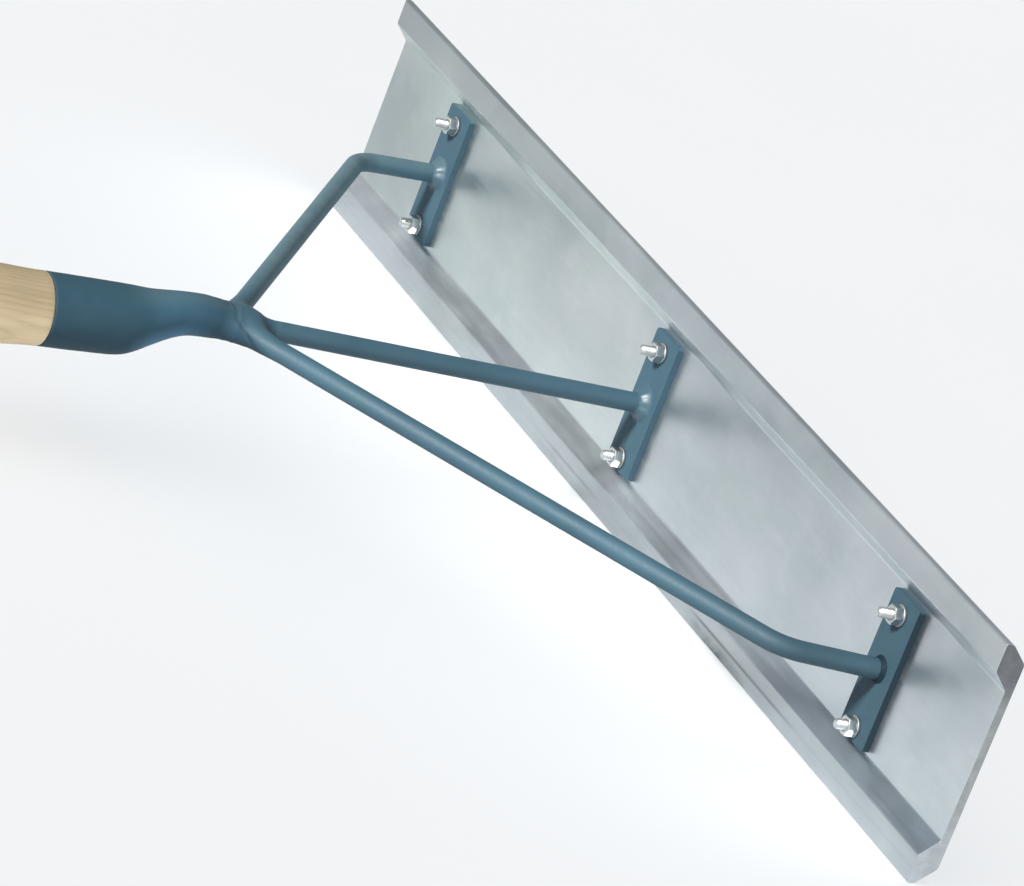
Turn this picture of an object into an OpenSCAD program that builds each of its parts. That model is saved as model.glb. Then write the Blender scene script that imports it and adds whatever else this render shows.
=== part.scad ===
// Asphalt rake: an aluminium blade carried by a blue steel brace, with a long
// wooden handle driven into a tapered socket. Millimetres, +Z up.
// The tool lies as it rests on a floor: on the lower edge of the blade and on
// the butt of the handle. +X runs along the blade, +Y points away from the
// handle, and the origin is under the middle of the tool, on the floor.

/* [Blade] */
// Length of the blade
blade_l = 850; // [760:10:1000]
// Height of the blade
blade_h = 140; // [138:1:156]
// Thickness of the thin web
web_t = 5.3; // [4.6:0.1:7]
// How far the rims stand out behind the web
rim_out = 9.8; // [9:0.1:13]
// Height of the flat back of each rim
rim_h = 16.5; // [15:0.5:17]
// Height of the slope from a rim to the web
ramp_h = 9.5; // [8:0.5:10]
// Depth of the bevel at the front of each outer edge
bevel_y = 10.8; // [8:0.1:11]
// Height of the bevel at the front of each outer edge
bevel_z = 10; // [8:0.5:12]

/* [Brackets] */
// Distance from the middle bracket to each outer one
bracket_x = 319; // [280:1:340]
// Width of a bracket
bracket_w = 30; // [26:1:36]
// Length of a bracket, at most the flat height of the web
bracket_l = 84; // [78:1:84]
// Thickness of a bracket
bracket_t = 4; // [3:0.5:5]
// Height of the upper bolt of a bracket above the braces
bolt_up = 31.8; // [30:0.1:33]
// Depth of the lower bolt of a bracket below the braces
bolt_low = 34.5; // [32:0.5:35]

/* [Braces] */
// Diameter of the round bar of both braces
rod_d = 11.4; // [10:0.2:12]
// How far the outer bends stand in from the bracket centres
bend_in = 6.2; // [2:0.2:12]
// Distance of the outer bends behind the web
bend_y = 61.2; // [50:0.2:70]
// Distance of the point where the straight arms would meet, behind the web
apex_y = 267.7; // [240:0.1:300]
// Radius of the outer bends
bend_r = 26; // [18:1:34]
// Radius of the middle bend
apex_r = 42; // [34:1:50]

/* [Socket] */
// Outer radius of the socket's mouth
mouth_r = 20.4; // [20:0.1:21.4]
// Wall of the socket at its mouth
socket_wall = 2.1; // [1.6:0.1:2.4]
// Distance of the mouth behind the web
mouth_y = 376; // [366:1:390]
// Angle of the socket and handle below the plane of the braces
droop = 4.2; // [3:0.1:6]

/* [Handle] */
// Length of the handle outside the socket
handle_l = 1395; // [1100:5:1500]
// Largest radius of the handle, just outside the socket
swell_r = 21.9; // [21.5:0.1:23]
// Radius of the long straight grip
grip_r = 19; // [16:0.5:20]
// Length of the straight grip, up to the rounded butt
grip_l = 900; // [500:10:950]

/* [Fasteners] */
// Thread diameter of the bolts
bolt_d = 6; // [6:1:6]
// How far an upper bolt stands out of its bracket
bolt_out = 14.4; // [10:0.1:18]
// How far a lower bolt stands out of its bracket
bolt_out_low = 12.2; // [9:0.1:18]
// Width of a nut across its flats
nut_af = 10; // [10:1:10]
// Height of a nut
nut_h = 5; // [4.8:0.1:5.2]
// Outer diameter of a washer
washer_d = 12; // [12:1:14]
// Thickness of a washer
washer_t = 1.6; // [1.4:0.1:2]

/* [Hidden] */
$fn = 64;

BLUE = [0.25, 0.40, 0.50];
ALUMINIUM = [0.80, 0.82, 0.83];
ZINC = [0.84, 0.86, 0.86];
WOOD = [0.84, 0.73, 0.55];

hole_r = bolt_d / 2 + 0.3;
rod_r = rod_d / 2;
mid_z = blade_h / 2 - 0.7;       // height of the braces and of the bracket centres
apex = [0, -apex_y];
bend = [bracket_x - bend_in, -bend_y];
edge_r = 1.5;                     // rounding of the blade's back corners
land = rim_out + web_t - bevel_y; // flat of the blade's outer edges
outer_r = min(5, (land - edge_r - 0.1) / 0.42); // rounding between that flat and the bevel
plate_l = min(bracket_l, 2 * (mid_z - rim_h - ramp_h - 1.3));
butt_r = 9;                       // rounding of the handle's butt
mouth_drop = 13.3;                // height of the braces above the centre of the mouth

// ---- plane geometry ----
function unit(v) = v / norm(v);
function wrap(a) = a > 180 ? a - 360 : a < -180 ? a + 360 : a;
// arc of radius r that rounds the corner p between a and b, in n steps
function corner(a, p, b, r, n) =
    r <= 0 ? [p] :
    let (u = unit(a - p), v = unit(b - p), half = acos(u * v) / 2,
         c = p + unit(u + v) * r / sin(half),
         s = p + u * r / tan(half) - c, e = p + v * r / tan(half) - c,
         a0 = atan2(s[1], s[0]), da = wrap(atan2(e[1], e[0]) - a0))
    [for (i = [0 : n]) c + r * [cos(a0 + da * i / n), sin(a0 + da * i / n)]];
// outline through vertices [x, y, radius], every corner rounded
function rounded(v, n) =
    let (m = len(v), q = [for (p = v) [p[0], p[1]]])
    [for (i = [0 : m - 1]) each corner(q[(i + m - 1) % m], q[i], q[(i + 1) % m], v[i][2], n)];

// ---- surfaces swept from rings of points, closed at both ends ----
module rings_solid(rings) {
    n = len(rings[0]);
    m = len(rings);
    pts = [for (r = rings) each r];
    c0 = len(pts);
    mid0 = [for (k = [0 : 2]) sum_of(rings[0], k) / n];
    mid1 = [for (k = [0 : 2]) sum_of(rings[m - 1], k) / n];
    polyhedron(
        points = concat(pts, [mid0, mid1]),
        faces = concat(
            [for (i = [0 : m - 2], j = [0 : n - 1])
                each let (k = (j + 1) % n)
                [[i * n + j, i * n + k, (i + 1) * n + k],
                 [i * n + j, (i + 1) * n + k, (i + 1) * n + j]]],
            [for (j = [0 : n - 1]) [c0, (j + 1) % n, j]],
            [for (j = [0 : n - 1]) [c0 + 1, (m - 1) * n + j, (m - 1) * n + (j + 1) % n]]),
        convexity = 8);
}
function sum_of(r, k, i = 0) = i == len(r) ? 0 : r[i][k] + sum_of(r, k, i + 1);

// ---- the tool's lie on the floor ----
axis_back = [-cos(droop), -sin(droop)];             // handle direction, (y, z)
axis_up = [-sin(droop), cos(droop)];
mouth = [-mouth_y, mid_z - mouth_drop];                   // centre of the mouth, (y, z)
butt_arc = mouth + axis_back * (handle_l - butt_r) - axis_up * (grip_r - butt_r);
butt_arc_top = mouth + axis_back * (handle_l - butt_r) + axis_up * (grip_r - butt_r);
foot_arc = [-rim_out + edge_r, edge_r];
foot_gap = foot_arc - butt_arc;
lean = atan2(foot_gap[1], foot_gap[0]) + asin((butt_r - edge_r) / norm(foot_gap));
function lain(p) = [p[0] * cos(lean) + p[1] * sin(lean), -p[0] * sin(lean) + p[1] * cos(lean)];
head_h = 3.8;
head_r = 8;
floor_z = lain(foot_arc)[1] - edge_r;
back_y = lain(butt_arc_top)[0] - butt_r;
front_y = lain([web_t + head_h, mid_z + bolt_up])[0];
module lie() {
    translate([0, -(back_y + front_y) / 2, -floor_z]) rotate([-lean, 0, 0]) children();
}

// ---- blade ----
function blade_outline() =
    let (h = blade_h, f = web_t, b = -rim_out)
    rounded([
        [b, 0, edge_r], [f - bevel_y, 0, outer_r], [f, bevel_z, 4],
        [f, h - bevel_z, 4], [f - bevel_y, h, outer_r], [b, h, edge_r],
        [b, h - rim_h, 2.5], [0, h - rim_h - ramp_h, 3],
        [0, rim_h + ramp_h, 3], [b, rim_h, 2.5]], 5);

module bolt_places(x) {
    for (h = [-bolt_low, bolt_up]) translate([x, 0, mid_z + h]) rotate([-90, 0, 0]) children();
}

module blade() {
    color(ALUMINIUM) lie() difference() {
        translate([-blade_l / 2, 0, 0])
            rotate([90, 0, 90]) linear_extrude(height = blade_l) polygon(blade_outline());
        for (x = [-bracket_x, 0, bracket_x])
            bolt_places(x) translate([0, 0, -5]) cylinder(r = hole_r, h = web_t + 10);
    }
}

// ---- brackets: flat bar with two bolt holes ----
module bracket(x) {
    w = bracket_w / 2;
    l = plate_l / 2;
    color(BLUE) lie() difference() {
        translate([x, 0, mid_z]) rotate([90, 0, 0]) linear_extrude(height = bracket_t)
            polygon(rounded([[-w, -l, 2], [w, -l, 2], [w, l, 2], [-w, l, 2]], 4));
        bolt_places(x) translate([0, 0, -bracket_t - 3]) cylinder(r = hole_r, h = bracket_t + 6);
    }
}

// ---- braces: round bar bent in the plane z = mid_z ----
sides = 20;
// path of the outer brace from the left bracket to the right one
brace_path = concat(
    [[-bracket_x, -bracket_t]],
    corner([-bracket_x, -bracket_t], [-bend[0], bend[1]], apex, bend_r, 8),
    corner([-bend[0], bend[1]], apex, bend, apex_r, 12),
    corner(apex, bend, [bracket_x, -bracket_t], bend_r, 8),
    [[bracket_x, -bracket_t]]);
function brace_dir(p, i) =
    i == 0 ? unit(p[1] - p[0]) :
    i == len(p) - 1 ? unit(p[i] - p[i - 1]) :
    unit(unit(p[i + 1] - p[i]) + unit(p[i] - p[i - 1]));
function brace_ring(p, i) =
    let (t = brace_dir(p, i), side = [-t[1], t[0]], flat_end = i == 0 || i == len(p) - 1)
    [for (j = [0 : sides - 1])
        let (a = 360 * j / sides, q = p[i] + rod_r * cos(a) * side,
             on_face = q + t * (-bracket_t - q[1]) / t[1], e = flat_end ? on_face : q)
        [e[0], e[1], mid_z + rod_r * sin(a)]];

module outer_brace() {
    color(BLUE) lie() rings_solid([for (i = [0 : len(brace_path) - 1]) brace_ring(brace_path, i)]);
}

// centre of the middle bend, and the bar's surface on its outside and its inside
half_arm = acos(unit(bend - apex) * [0, 1]);
bend_c = apex[1] + apex_r / sin(half_arm);
function bulge(z, r) = sqrt(max(0, r * r - z * z));
function outside_y(x, z, r) = bend_c - sqrt(pow(apex_r + bulge(z, r), 2) - x * x);
function inside_y(x, z, r) = bend_c - sqrt(pow(apex_r - bulge(z, r), 2) - x * x);

module centre_brace() {
    fit = 0.05;
    // the rear end is cut to sit on the inside of the middle bend
    function ring(k) = [for (j = [0 : sides - 1])
        let (a = 360 * j / sides, x = k * rod_r * cos(a), z = k * rod_r * sin(a))
        [x, inside_y(x, z, rod_r + fit) + fit, mid_z + z]];
    front = [for (j = [0 : sides - 1])
        [rod_r * cos(360 * j / sides), -bracket_t, mid_z + rod_r * sin(360 * j / sides)]];
    color(BLUE) lie() rings_solid([ring(0.25), ring(0.55), ring(0.8), ring(0.93), ring(1), front]);
}

// ---- socket: swan neck and tapered cup in one forging ----
around = 40;
// stations from the brace to the mouth: distance behind the web, height above
// the braces, outer radius, slope of the section in degrees
stations = [
    [266, 0.4, 10.4, 0], [272, 0.5, 10.8, 0], [284, 0.6, 11.6, 0], [292, 0.1, 11.9, 1],
    [300, -1.6, 12.9, 4], [308, -4.2, 14.3, 6], [316, -7, 16.2, 7],
    [325, -9.8, 18.8, 6], [333, -10.9, 19.6, droop],
    [mouth_y, -mouth_drop, mouth_r, droop]];
function catmull(a, b, c, d, t) =
    0.5 * (2 * b + (c - a) * t + (2 * a - 5 * b + 4 * c - d) * t * t + (3 * b - a - 3 * c + d) * t * t * t);
function station(i, t) =
    let (m = len(stations) - 1)
    catmull(stations[max(i - 1, 0)], stations[i], stations[i + 1],
            i + 2 > m ? 2 * stations[m] - stations[m - 1] : stations[i + 2], t);
function section(s) = [for (j = [0 : around - 1])
    let (a = 360 * j / around)
    [s[2] * cos(a), -s[0] - s[2] * sin(a) * sin(s[3]), mid_z + s[1] + s[2] * sin(a) * cos(s[3])]];
// the neck's end, cut to sit on the outside of the middle bend
function saddle(k) = [for (j = [0 : around - 1])
    let (a = 360 * j / around, s = stations[0], x = k * s[2] * cos(a), z = s[1] + k * s[2] * sin(a))
    [x, outside_y(x, z, rod_r + 0.05) - 0.15, mid_z + z]];
bore_l = 44;
bore_r = mouth_r - socket_wall;
bore_end_r = 15.6;
function bore_section(d, r) = [for (j = [0 : around - 1])
    let (a = 360 * j / around, y = mouth[0] - axis_back[0] * d, z = mouth[1] - axis_back[1] * d)
    [r * cos(a), y + r * sin(a) * axis_up[0], z + r * sin(a) * axis_up[1]]];

module socket() {
    color(BLUE) lie() rings_solid(concat(
        [for (k = [0.2, 0.4, 0.55, 0.7, 0.85, 1]) saddle(k)],
        [for (i = [0 : len(stations) - 3], t = [0, 0.5]) section(station(i, t))],
        [for (i = [len(stations) - 2], t = [0, 0.5, 1]) section(station(i, t))],
        [bore_section(0, bore_r), bore_section(bore_l / 2, (bore_r + bore_end_r) / 2),
         bore_section(bore_l, bore_end_r)]));
}

// ---- handle: turned ash, tapered into the socket ----
function ease(t) = (1 - cos(180 * t)) / 2;
module handle() {
    taper = handle_l - butt_r - grip_l;
    play = 0.1;
    color(WOOD) lie() translate([0, mouth[0], mouth[1]]) rotate([90 + droop, 0, 0])
        rotate_extrude()
            polygon(concat(
                [[0, -bore_l + 0.5], [bore_end_r - play, -bore_l + 0.5], [bore_r - play, -0.3], [bore_r - play, 0.05],
                 [mouth_r - 0.6, 0.05], [mouth_r, 0.7]],
                [for (i = [1 : 4]) [mouth_r + (swell_r - mouth_r) * ease(i / 4), 0.7 + i * 9]],
                [for (i = [1 : 12]) [swell_r + (grip_r - swell_r) * ease(i / 12), 60 + (taper - 60) * i / 12]],
                [for (i = [0 : 8]) [grip_r - butt_r + butt_r * cos(90 * i / 8), handle_l - butt_r + butt_r * sin(90 * i / 8)]],
                [[0, handle_l]]));
}

// ---- fasteners, two to a bracket ----
module bolts(x) {
    rise = head_h - 1;
    dome = (head_r * head_r + rise * rise) / (2 * rise);
    color(ZINC) lie() for (b = [[-bolt_low, -bracket_t - bolt_out_low], [bolt_up, -bracket_t - bolt_out]])
        translate([x, 0, mid_z + b[0]]) rotate([-90, 0, 0]) rotate_extrude()
        polygon(concat(
            [[0, b[1]], [bolt_d / 2 - 0.7, b[1]],
             [bolt_d / 2, b[1] + 0.7], [bolt_d / 2, web_t], [head_r, web_t], [head_r, web_t + 1]],
            [for (i = [1 : 6]) let (a = asin(head_r / dome) * (1 - i / 6))
                [dome * sin(a), web_t + head_h - dome + dome * cos(a)]]));
}

module washers(x) {
    color(ZINC) lie() bolt_places(x) translate([0, 0, -bracket_t - washer_t]) difference() {
        cylinder(d = washer_d, h = washer_t);
        translate([0, 0, -1]) cylinder(r = bolt_d / 2 + 0.2, h = washer_t + 2);
    }
}

module nuts(x) {
    c = nut_af / 2 / cos(30);
    color(ZINC) lie() bolt_places(x) translate([0, 0, -bracket_t - washer_t - nut_h]) difference() {
        intersection() {
            cylinder(r = c, h = nut_h, $fn = 6);
            rotate_extrude() polygon([[0, 0], [nut_af / 2 - 0.2, 0], [c + 0.1, 0.6],
                                      [c + 0.1, nut_h - 0.6], [nut_af / 2 - 0.2, nut_h], [0, nut_h]]);
        }
        translate([0, 0, -1]) cylinder(r = bolt_d / 2 + 0.03, h = nut_h + 2);
    }
}

blade();
bracket(-bracket_x);  // bracket_left
bracket(0);  // bracket_centre
bracket(bracket_x);  // bracket_right
outer_brace();
centre_brace();
socket();
handle();
bolts(-bracket_x);  // bolts_left
bolts(0);  // bolts_centre
bolts(bracket_x);  // bolts_right
washers(-bracket_x);  // washers_left
washers(0);  // washers_centre
washers(bracket_x);  // washers_right
nuts(-bracket_x);  // nuts_left
nuts(0);  // nuts_centre
nuts(bracket_x);  // nuts_right
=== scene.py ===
import math

import bmesh
import bpy
import numpy as np
from mathutils import Matrix, Vector, noise


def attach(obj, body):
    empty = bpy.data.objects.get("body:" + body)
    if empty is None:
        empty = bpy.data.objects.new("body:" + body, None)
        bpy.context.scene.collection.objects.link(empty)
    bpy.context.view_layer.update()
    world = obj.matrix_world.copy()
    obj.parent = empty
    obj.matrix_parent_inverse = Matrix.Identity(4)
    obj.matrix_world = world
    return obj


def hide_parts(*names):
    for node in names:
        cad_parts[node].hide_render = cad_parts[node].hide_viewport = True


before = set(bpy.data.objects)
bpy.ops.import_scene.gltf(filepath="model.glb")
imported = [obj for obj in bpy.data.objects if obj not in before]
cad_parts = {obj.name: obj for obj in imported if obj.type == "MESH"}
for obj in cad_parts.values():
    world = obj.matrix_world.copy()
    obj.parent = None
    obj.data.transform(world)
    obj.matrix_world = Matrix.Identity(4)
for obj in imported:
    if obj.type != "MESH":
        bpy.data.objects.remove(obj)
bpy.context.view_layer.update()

# ---------------------------------------------------------------- dimensions, mm
BLADE_L, BLADE_H, WEB_T = 850.0, 140.0, 5.3
RIM_OUT, RIM_H, RAMP_H = 9.8, 16.5, 9.5
BEVEL_Y, BEVEL_Z = 10.8, 10.0
BRACKET_X, BRACKET_W, BRACKET_L, BRACKET_T = 319.0, 30.0, 84.0, 4.0
BOLT_UP, BOLT_LOW, ROD_R = 31.8, 34.5, 5.7
BEND_IN, BEND_Y, APEX_Y, BEND_R, APEX_R = 6.2, 61.2, 267.7, 26.0, 42.0
MOUTH_R, SOCKET_WALL, MOUTH_Y, DROOP, MOUTH_DROP = 20.4, 2.1, 376.0, 4.2, 13.3
HANDLE_L, SWELL_R, GRIP_R, GRIP_L, BUTT_R = 1395.0, 21.9, 19.0, 900.0, 9.0
BOLT_R, BOLT_OUT, BOLT_OUT_LOW, NUT_AF, NUT_H = 3.0, 14.4, 12.2, 10.0, 5.0
WASHER_R, WASHER_T, HOLE_R = 6.0, 1.6, 3.3
HEAD_R, HEAD_H, EDGE_R = 8.0, 3.8, 1.5
BORE_L, BORE_END_R = 44.0, 15.6
MID_Z = BLADE_H / 2 - 0.7

# ---------------------------------------------------------------- the tool's lie on the floor
_d = math.radians(DROOP)
AXIS_BACK = np.array([-math.cos(_d), -math.sin(_d)])
AXIS_UP = np.array([-math.sin(_d), math.cos(_d)])
MOUTH = np.array([-MOUTH_Y, MID_Z - MOUTH_DROP])
_arc = MOUTH + AXIS_BACK * (HANDLE_L - BUTT_R) - AXIS_UP * (GRIP_R - BUTT_R)
_top = MOUTH + AXIS_BACK * (HANDLE_L - BUTT_R) + AXIS_UP * (GRIP_R - BUTT_R)
_foot = np.array([-RIM_OUT + EDGE_R, EDGE_R])
_gap = _foot - _arc
LEAN = math.atan2(_gap[1], _gap[0]) + math.asin((BUTT_R - EDGE_R) / np.hypot(*_gap))
_c, _s = math.cos(LEAN), math.sin(LEAN)


def _lain(p):
    return np.array([p[0] * _c + p[1] * _s, -p[0] * _s + p[1] * _c])


_floor = _lain(_foot)[1] - EDGE_R
_back = _lain(_top)[0] - BUTT_R
_front = _lain([WEB_T + HEAD_H, MID_Z + BOLT_UP])[0]
LIE_R = np.array([[1, 0, 0], [0, _c, _s], [0, -_s, _c]])
LIE_T = np.array([0, -(_back + _front) / 2, -_floor])


def lie(p):
    """Points of the blade's frame, in mm, to the row frame, in metres."""
    return (np.asarray(p, float) @ LIE_R.T + LIE_T) * 0.001


# ---------------------------------------------------------------- plane outlines
def unit(v):
    v = np.asarray(v, float)
    return v / np.linalg.norm(v)


def corner(a, p, b, r, n):
    a, p, b = (np.asarray(q, float) for q in (a, p, b))
    u, v = unit(a - p), unit(b - p)
    half = math.acos(max(-1.0, min(1.0, float(u @ v)))) / 2
    c = p + unit(u + v) * r / math.sin(half)
    s, e = p + u * r / math.tan(half) - c, p + v * r / math.tan(half) - c
    a0, a1 = math.atan2(s[1], s[0]), math.atan2(e[1], e[0])
    da = (a1 - a0 + math.pi) % (2 * math.pi) - math.pi
    return [c + r * np.array([math.cos(a0 + da * i / n), math.sin(a0 + da * i / n)]) for i in range(n + 1)]


def rounded(v, n):
    m, out = len(v), []
    for i in range(m):
        out += corner(v[i - 1][:2], v[i][:2], v[(i + 1) % m][:2], v[i][2], n)
    return np.array(out)


def inset(poly, d):
    """Closed outline moved inwards by d, corner by corner."""
    p = np.asarray(poly, float)
    e = np.roll(p, -1, 0) - p
    area = 0.5 * np.sum(p[:, 0] * np.roll(p[:, 1], -1) - np.roll(p[:, 0], -1) * p[:, 1])
    nrm = np.stack([-e[:, 1], e[:, 0]], 1) / np.linalg.norm(e, axis=1)[:, None] * np.sign(area)
    prev = np.roll(nrm, 1, 0)
    m = prev + nrm
    m /= np.linalg.norm(m, axis=1)[:, None]
    return p + m * (d / np.clip((m * nrm).sum(1), 0.5, 1))[:, None]


# ---------------------------------------------------------------- mesh building
def link(name, verts, faces, smooth_angle=32, mats=(), face_mats=None):
    me = bpy.data.meshes.new(name)
    me.from_pydata([tuple(v) for v in lie(verts)], [], faces)
    bm = bmesh.new()
    bm.from_mesh(me)
    bmesh.ops.recalc_face_normals(bm, faces=bm.faces)
    bm.to_mesh(me)
    bm.free()
    me.shade_smooth()
    if smooth_angle:
        me.set_sharp_from_angle(angle=math.radians(smooth_angle))
    ob = bpy.data.objects.new(name, me)
    bpy.context.scene.collection.objects.link(ob)
    for m in mats:
        me.materials.append(m)
    if face_mats is not None:
        me.polygons.foreach_set("material_index", face_mats)
    return ob


def loft(rings, closed=False, caps=(True, True), base=0):
    """Vertices and faces of a surface through rings of equal length."""
    rings = [np.asarray(r, float) for r in rings]
    n, m = len(rings[0]), len(rings)
    verts = np.concatenate(rings)
    faces = []
    for i in range(m if closed else m - 1):
        a, b = i * n, ((i + 1) % m) * n
        for j in range(n):
            k = (j + 1) % n
            faces.append((base + a + j, base + a + k, base + b + k, base + b + j))
    if not closed:
        for end, on in ((0, caps[0]), (m - 1, caps[1])):
            if on:
                mid = rings[end].mean(0)
                verts = np.concatenate([verts, mid[None]])
                c, o = len(verts) - 1, end * n
                for j in range(n):
                    faces.append((base + c, base + o + j, base + o + (j + 1) % n))
    return verts, faces


def merge(parts):
    verts, faces, at = [], [], 0
    for v, f in parts:
        verts.append(v)
        faces += [tuple(i + at for i in q) for q in f]
        at += len(v)
    return np.concatenate(verts), faces


def circle(n, r=1.0, phase=0.0):
    a = np.arange(n) * 2 * math.pi / n + phase
    return np.stack([r * np.cos(a), r * np.sin(a)], 1)


def keep(ob, slot, *nodes):
    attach(ob, "root")
    if nodes:
        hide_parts(*nodes)
    return ob


# ---------------------------------------------------------------- node helpers
def new_material(name):
    m = bpy.data.materials.new(name)
    m.use_nodes = True
    nt = m.node_tree
    nt.nodes.clear()
    out = nt.nodes.new("ShaderNodeOutputMaterial")
    bsdf = nt.nodes.new("ShaderNodeBsdfPrincipled")
    nt.links.new(bsdf.outputs[0], out.inputs["Surface"])
    return m, nt, bsdf


def coords(nt, scale=(1, 1, 1), rot=(0, 0, 0), loc=(0, 0, 0)):
    tc = nt.nodes.new("ShaderNodeTexCoord")
    mp = nt.nodes.new("ShaderNodeMapping")
    mp.inputs["Location"].default_value = loc
    mp.inputs["Rotation"].default_value = rot
    mp.inputs["Scale"].default_value = scale
    nt.links.new(tc.outputs["Object"], mp.inputs["Vector"])
    return mp.outputs[0]


def rescale(nt, vec, scale, loc=(0, 0, 0)):
    mp = nt.nodes.new("ShaderNodeMapping")
    mp.inputs["Scale"].default_value = scale
    mp.inputs["Location"].default_value = loc
    nt.links.new(vec, mp.inputs["Vector"])
    return mp.outputs[0]


def tex_noise(nt, vec, scale, detail=3.0, rough=0.5, distortion=0.0):
    n = nt.nodes.new("ShaderNodeTexNoise")
    n.inputs["Scale"].default_value = scale
    n.inputs["Detail"].default_value = detail
    n.inputs["Roughness"].default_value = rough
    n.inputs["Distortion"].default_value = distortion
    nt.links.new(vec, n.inputs["Vector"])
    return n.outputs["Fac"]


def ramp(nt, fac, stops, interp="LINEAR"):
    r = nt.nodes.new("ShaderNodeValToRGB")
    r.color_ramp.interpolation = interp
    el = r.color_ramp.elements
    while len(el) < len(stops):
        el.new(0.5)
    for e, (pos, col) in zip(el, stops):
        e.position = pos
        e.color = (*col, 1.0) if not np.isscalar(col) else (col, col, col, 1.0)
    nt.links.new(fac, r.inputs["Fac"])
    return r.outputs["Color"]


def to_range(nt, fac, a, b, lo=0.0, hi=1.0, clamp=True):
    m = nt.nodes.new("ShaderNodeMapRange")
    m.clamp = clamp
    for k, v in zip(("From Min", "From Max", "To Min", "To Max"), (lo, hi, a, b)):
        m.inputs[k].default_value = v
    nt.links.new(fac, m.inputs["Value"])
    return m.outputs["Result"]


def math_node(nt, op, a, b=None):
    m = nt.nodes.new("ShaderNodeMath")
    m.operation = op
    for i, x in enumerate((a, b)):
        if x is None:
            continue
        if isinstance(x, (int, float)):
            m.inputs[i].default_value = x
        else:
            nt.links.new(x, m.inputs[i])
    return m.outputs[0]


def mix(nt, fac, a, b, mode="MIX"):
    m = nt.nodes.new("ShaderNodeMix")
    m.data_type = "RGBA"
    m.blend_type = mode
    if isinstance(fac, (int, float)):
        m.inputs["Factor"].default_value = fac
    else:
        nt.links.new(fac, m.inputs["Factor"])
    for key, x in (("A", a), ("B", b)):
        sock = [s for s in m.inputs if s.name == key and s.type == "RGBA"][0]
        if isinstance(x, tuple):
            sock.default_value = (*x, 1.0)
        else:
            nt.links.new(x, sock)
    return [s for s in m.outputs if s.type == "RGBA"][0]


def bump(nt, height, strength, distance, normal=None):
    b = nt.nodes.new("ShaderNodeBump")
    b.inputs["Strength"].default_value = strength
    b.inputs["Distance"].default_value = distance
    nt.links.new(height, b.inputs["Height"])
    if normal is not None:
        nt.links.new(normal, b.inputs["Normal"])
    return b.outputs["Normal"]


# ---------------------------------------------------------------- materials
def split(nt, vec):
    n = nt.nodes.new("ShaderNodeSeparateXYZ")
    nt.links.new(vec, n.inputs[0])
    return n.outputs


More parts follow.
